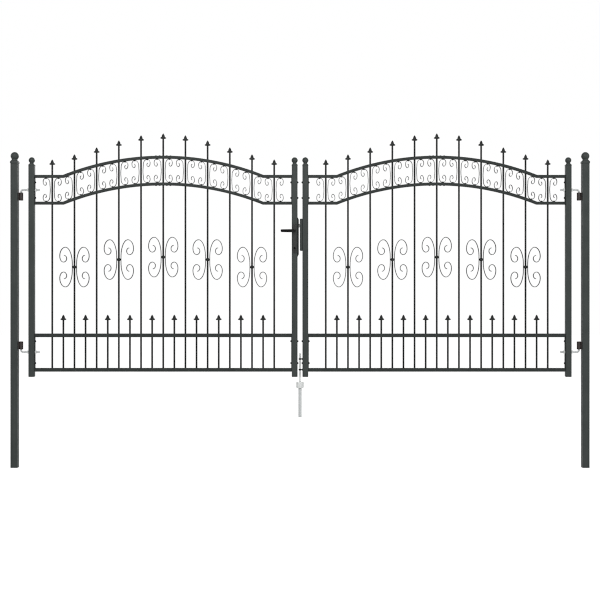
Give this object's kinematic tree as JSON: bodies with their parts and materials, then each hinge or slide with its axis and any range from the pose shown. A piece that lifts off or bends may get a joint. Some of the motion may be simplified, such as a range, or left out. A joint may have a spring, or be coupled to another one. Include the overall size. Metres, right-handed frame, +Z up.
{
  "type": "wrought iron double driveway gate",
  "caption": "Two-leaf steel driveway gate with arched frieze, scrolls and spear heads, hung on pins between two square posts, with lever lock and drop bolt.",
  "frame": {"origin": "middle of the left post's foot, as seen from the front", "axes": "+X along the gate from the left post to the right post, +Y through the gate to the back, +Z up"},
  "size_m": [4.0669, 0.116, 2.347],
  "materials": {
    "anthracite_coat": "satin powder coat, anthracite grey",
    "zinc_steel": "zinc plated",
    "hinge_black": "black paint on a welded barrel",
    "lock_black": "satin black",
    "plug_plastic": "moulded end plug"
  },
  "bodies": {
    "posts": {"ground_sleeve": "zinc_steel", "left_hinge_barrels": "hinge_black", "left_post": "anthracite_coat", "post_caps": "anthracite_coat", "right_hinge_barrels": "hinge_black", "right_post": "anthracite_coat"},
    "left_leaf": {"left_bottom_rail": "anthracite_coat", "left_butterfly_scrolls": "anthracite_coat", "left_collars": "anthracite_coat", "left_end_plates": "anthracite_coat", "left_frieze_scrolls": "anthracite_coat", "left_hinge_pins": "zinc_steel", "left_hinge_stile": "anthracite_coat", "left_lock_stile": "anthracite_coat", "left_long_bars": "anthracite_coat", "left_lower_arch_rail": "anthracite_coat", "left_middle_rail": "anthracite_coat", "left_short_bars": "anthracite_coat", "left_spear_heads": "anthracite_coat", "left_stile_caps": "anthracite_coat", "left_stile_plugs": "plug_plastic", "left_upper_arch_rail": "anthracite_coat", "lock_cylinder": "zinc_steel", "lock_forend": "anthracite_coat", "lock_plates": "lock_black"},
    "right_leaf": {"drop_bolt_guides": "anthracite_coat", "lock_strike": "anthracite_coat", "right_bottom_rail": "anthracite_coat", "right_butterfly_scrolls": "anthracite_coat", "right_collars": "anthracite_coat", "right_end_plates": "anthracite_coat", "right_frieze_scrolls": "anthracite_coat", "right_hinge_pins": "zinc_steel", "right_hinge_stile": "anthracite_coat", "right_lock_stile": "anthracite_coat", "right_long_bars": "anthracite_coat", "right_lower_arch_rail": "anthracite_coat", "right_middle_rail": "anthracite_coat", "right_short_bars": "anthracite_coat", "right_spear_heads": "anthracite_coat", "right_stile_caps": "anthracite_coat", "right_stile_plugs": "plug_plastic", "right_upper_arch_rail": "anthracite_coat"},
    "lever": {"lever_handles": "lock_black"},
    "latch": {"latch_bolt": "zinc_steel"},
    "drop_bolt": {"drop_bolt": "zinc_steel"}
  },
  "joints": [
    {"name": "left_leaf_hinge", "type": "hinge", "parent": "posts", "child": "left_leaf", "pos_m": [0.045, 0, 0.83], "axis": [0, 0, 1], "range_deg": [0, 90]},
    {"name": "right_leaf_hinge", "type": "hinge", "parent": "posts", "child": "right_leaf", "pos_m": [3.965, 0, 0.83], "axis": [0, 0, -1], "range_deg": [0, 90]},
    {"name": "lever_turn", "type": "hinge", "parent": "left_leaf", "child": "lever", "pos_m": [1.9675, 0, 1.6635], "axis": [0, -1, 0], "range_deg": [0, 40], "stiffness_Nm_per_rad": 1, "springref_deg": -28.65},
    {"name": "latch_slide", "type": "slide", "parent": "left_leaf", "child": "latch", "axis": [-1, 0, 0], "range_m": [0, 0.0075]},
    {"name": "drop_bolt_slide", "type": "slide", "parent": "right_leaf", "child": "drop_bolt", "axis": [0, 0, 1], "range_m": [-0.02, 0.08]}
  ],
  "couplings": [
    {"joint": "latch_slide", "follows": "lever_turn", "m_per_rad": 0.0106}
  ]
}
